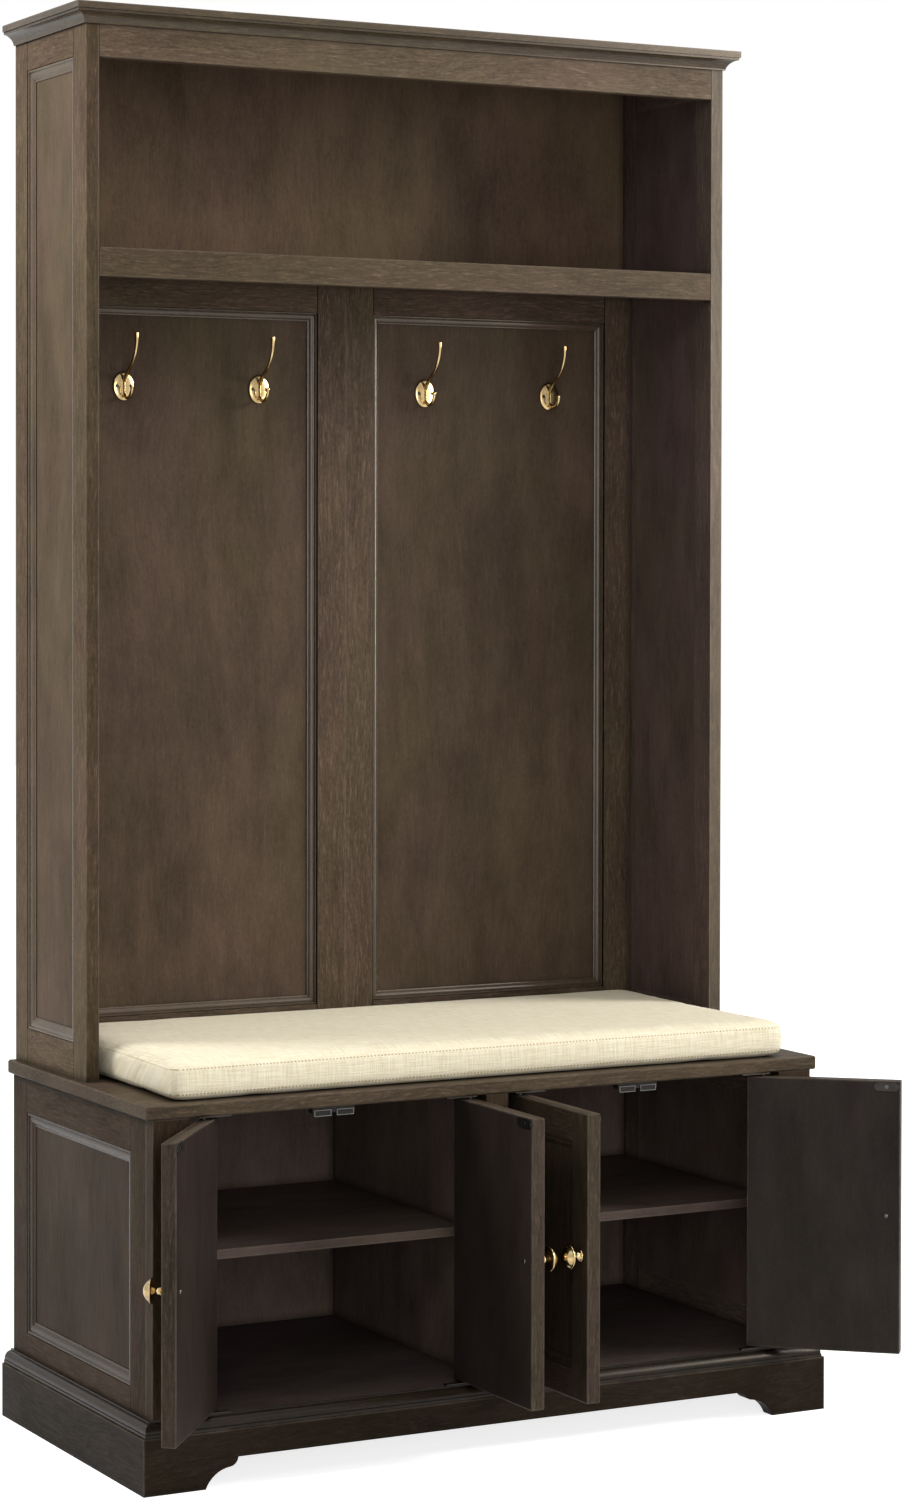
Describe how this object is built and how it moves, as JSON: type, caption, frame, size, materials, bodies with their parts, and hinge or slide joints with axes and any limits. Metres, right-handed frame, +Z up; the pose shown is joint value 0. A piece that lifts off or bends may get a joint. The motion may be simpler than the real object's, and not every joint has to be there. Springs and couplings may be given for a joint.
{
  "type": "hall tree",
  "caption": "Hall tree with a cushioned bench over a cabinet with swinging doors, a panelled back with double coat hooks, an open hat shelf and a crown moulding.",
  "frame": {"origin": "on the floor at the middle of the back, in the plane of the back", "axes": "+Z up, -Y to the front where the doors and seat are, +X to the right of someone facing it"},
  "size_m": [1.1199, 0.656, 1.88],
  "materials": {
    "stained_wood": "dark stain, satin",
    "brass": "antique, brushed",
    "steel": "zinc plated",
    "catch": "moulded, matte",
    "cushion_fabric": "plain woven"
  },
  "bodies": {
    "cabinet": {"base_front_rail": "stained_wood", "base_left_rail": "stained_wood", "base_right_rail": "stained_wood", "base_back_rail": "stained_wood", "base_moulding_front": "stained_wood", "base_moulding_left": "stained_wood", "base_moulding_right": "stained_wood", "cabinet_floor": "stained_wood", "bench_left_frame": "stained_wood", "bench_left_panel": "stained_wood", "bench_left_moulding": "stained_wood", "bench_right_frame": "stained_wood", "bench_right_panel": "stained_wood", "bench_right_moulding": "stained_wood", "partition": "stained_wood", "bench_back_panel": "stained_wood", "face_frame_stiles": "stained_wood", "bench_top": "stained_wood", "left_shelf": "stained_wood", "right_shelf": "stained_wood", "hutch_left_frame": "stained_wood", "hutch_left_panel": "stained_wood", "hutch_left_moulding": "stained_wood", "hutch_right_frame": "stained_wood", "hutch_right_panel": "stained_wood", "hutch_right_moulding": "stained_wood", "hutch_back_panel": "stained_wood", "hat_shelf": "stained_wood", "hat_shelf_rail": "stained_wood", "header_rail": "stained_wood", "top_board": "stained_wood", "back_left_frame": "stained_wood", "back_left_panel": "stained_wood", "back_right_frame": "stained_wood", "back_right_panel": "stained_wood", "back_mouldings": "stained_wood", "crown_front": "stained_wood", "crown_returns": "stained_wood", "shelf_pins": "steel", "pivot_plates": "steel", "magnetic_catches": "catch", "hook_1": "brass", "hook_2": "brass", "hook_3": "brass", "hook_4": "brass", "seat_cushion": "cushion_fabric"},
    "left_outer_leaf": {"left_outer_door": "stained_wood", "left_outer_knob": "brass", "left_outer_fittings": "steel"},
    "left_inner_leaf": {"left_inner_door": "stained_wood", "left_inner_knob": "brass", "left_inner_fittings": "steel"},
    "right_inner_leaf": {"right_inner_door": "stained_wood", "right_inner_knob": "brass", "right_inner_fittings": "steel"},
    "right_outer_leaf": {"right_outer_door": "stained_wood", "right_outer_knob": "brass", "right_outer_fittings": "steel"}
  },
  "joints": [
    {"name": "left_outer_hinge", "type": "hinge", "parent": "cabinet", "child": "left_outer_leaf", "pos_m": [-0.416, -0.468, 0.277], "axis": [0, 0, -1], "range_deg": [-128, 17]},
    {"name": "left_inner_hinge", "type": "hinge", "parent": "cabinet", "child": "left_inner_leaf", "pos_m": [-0.037, -0.468, 0.277], "axis": [0, 0, 1], "range_deg": [-90, 1]},
    {"name": "right_inner_hinge", "type": "hinge", "parent": "cabinet", "child": "right_inner_leaf", "pos_m": [0.037, -0.468, 0.277], "axis": [0, 0, -1], "range_deg": [-90, 1]},
    {"name": "right_outer_hinge", "type": "hinge", "parent": "cabinet", "child": "right_outer_leaf", "pos_m": [0.416, -0.468, 0.277], "axis": [0, 0, 1], "range_deg": [-138.5, 6.5]}
  ]
}
